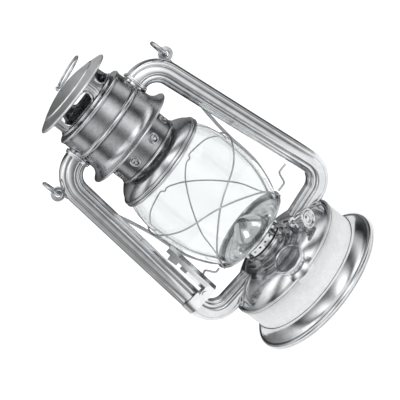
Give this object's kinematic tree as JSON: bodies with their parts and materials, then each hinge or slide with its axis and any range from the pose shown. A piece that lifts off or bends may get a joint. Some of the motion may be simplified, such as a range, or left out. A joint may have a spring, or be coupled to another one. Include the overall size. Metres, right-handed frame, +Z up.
{
  "type": "barn lantern",
  "caption": "Tubular barn lantern: fuel fount, flat-wick burner, glass globe in a crossed wire guard, slotted vent crown, side air tubes and a swinging bail.",
  "frame": {"origin": "on the floor, on the lantern's axis, in the middle of the foot", "axes": "+Z up the lantern's axis, X through the two air tubes, -Y towards the filler cap"},
  "size_m": [0.1484, 0.12, 0.2404],
  "materials": {
    "bright_steel": "bright zinc plate, lightly worn",
    "satin_steel": "satin zinc plate",
    "hood_steel": "dull zinc plate, greyed by heat",
    "glass": "clear blown glass",
    "cotton": "woven cotton wick",
    "rubber": "matt moulded rubber"
  },
  "bodies": {
    "frame": {"foot_ring": "bright_steel", "fount_band": "satin_steel", "tank_bottom": "satin_steel", "tank_top": "satin_steel", "fount_dome": "bright_steel", "filler_boss": "bright_steel", "filler_neck": "satin_steel", "burner_collar": "bright_steel", "burner_body": "satin_steel", "burner_gasket": "rubber", "burner_gallery": "bright_steel", "burner_cone": "bright_steel", "wick_tube": "satin_steel", "shaft_boss": "bright_steel", "hood_shell": "hood_steel", "hood_guide_ring": "hood_steel", "side_tube_left": "bright_steel", "side_tube_right": "bright_steel", "tube_flange_left": "bright_steel", "tube_flange_right": "bright_steel", "tube_collar_left": "bright_steel", "tube_collar_right": "bright_steel", "bail_ear_left": "hood_steel", "bail_ear_right": "hood_steel", "lever_bracket": "satin_steel", "lever_pin": "satin_steel", "lever_leaf_spring": "satin_steel", "chimney_spring": "satin_steel"},
    "globe_carriage": {"globe_plate": "bright_steel", "globe": "glass", "guard_wire_left": "bright_steel", "guard_wire_right": "bright_steel", "lift_wire_left": "bright_steel", "lift_wire_right": "bright_steel"},
    "chimney": {"chimney_neck": "hood_steel", "globe_bell": "hood_steel", "chimney_tube": "hood_steel", "vent_crown": "hood_steel", "cap": "bright_steel", "ring_staple": "hood_steel"},
    "lift_ring": {"lift_ring": "bright_steel"},
    "bail": {"bail": "bright_steel"},
    "lift_lever": {"lift_lever": "bright_steel"},
    "wick_drive": {"wick_shaft": "satin_steel", "wick_knob": "bright_steel"},
    "wick": {"wick": "cotton"},
    "cap_gasket": {"cap_gasket": "rubber"},
    "filler_cap": {"filler_cap": "satin_steel"}
  },
  "joints": [
    {"name": "bail_swing", "type": "hinge", "parent": "frame", "child": "bail", "pos_m": [0, 0, 0.19876], "axis": [1, 0, 0], "range_deg": [0, 225]},
    {"name": "globe_lift", "type": "slide", "parent": "frame", "child": "globe_carriage", "axis": [0, 0, 1], "range_m": [0, 0.009]},
    {"name": "lever_swing", "type": "hinge", "parent": "frame", "child": "lift_lever", "pos_m": [-0.05559, 0, 0.0678], "axis": [0, -1, 0], "range_deg": [0, 43]},
    {"name": "chimney_lift", "type": "slide", "parent": "globe_carriage", "child": "chimney", "axis": [0, 0, 1], "range_m": [0, 0.011], "stiffness_N_per_m": 150, "springref_m": -0.008, "deforming": ["chimney_spring"]},
    {"name": "ring_fold", "type": "hinge", "parent": "chimney", "child": "lift_ring", "pos_m": [-0.003, 0, 0.23664], "axis": [0, -1, 0], "range_deg": [0, 160]},
    {"name": "wick_raise", "type": "slide", "parent": "frame", "child": "wick", "axis": [0, 0, 1], "range_m": [-0.002, 0.006]},
    {"name": "wick_turn", "type": "hinge", "parent": "frame", "child": "wick_drive", "pos_m": [0.00372, 0.0027, 0.05878], "axis": [-0.5749, 0.7913, 0.2079], "range_deg": [-38.2, 114.59]},
    {"name": "cap_rise", "type": "slide", "parent": "frame", "child": "cap_gasket", "axis": [0, -0.309, 0.9511], "range_m": [0, 0.0036]},
    {"name": "cap_turn", "type": "hinge", "parent": "cap_gasket", "child": "filler_cap", "pos_m": [0, -0.04, 0.04007], "axis": [0, -0.309, 0.9511], "range_deg": [0, 720]}
  ],
  "couplings": [
    {"joint": "lever_swing", "follows": "globe_lift", "rad_per_m": 81.45},
    {"joint": "wick_turn", "follows": "wick_raise", "rad_per_m": 333.33},
    {"joint": "cap_turn", "follows": "cap_rise", "rad_per_m": 3490.7}
  ]
}
